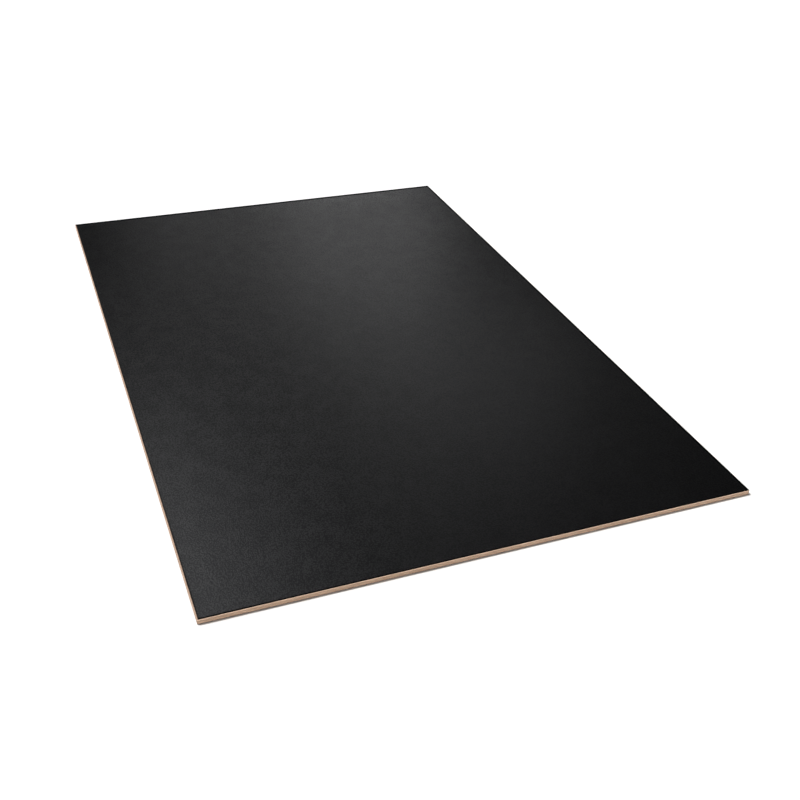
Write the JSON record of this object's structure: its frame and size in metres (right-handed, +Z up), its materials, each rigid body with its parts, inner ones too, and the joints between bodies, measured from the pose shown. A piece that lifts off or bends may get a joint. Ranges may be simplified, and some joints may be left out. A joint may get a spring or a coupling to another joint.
{
  "type": "medium-density fiberboard sheet",
  "caption": "Flat rectangular medium-density fiberboard sheet with satin black facings and bare sawn edges, lying flat as cut stock for panels and shelves.",
  "frame": {"origin": "middle of the underside, at floor level", "axes": "+X across the width, +Y along the length, +Z up through the thickness, out of the upper face"},
  "size_m": [1.22, 1.83, 0.012],
  "materials": {
    "raw_fiberboard": "matte",
    "black_film": "satin"
  },
  "bodies": {
    "root": {"fiberboard_core": "raw_fiberboard", "top_facing": "black_film", "bottom_facing": "black_film"}
  },
  "joints": []
}
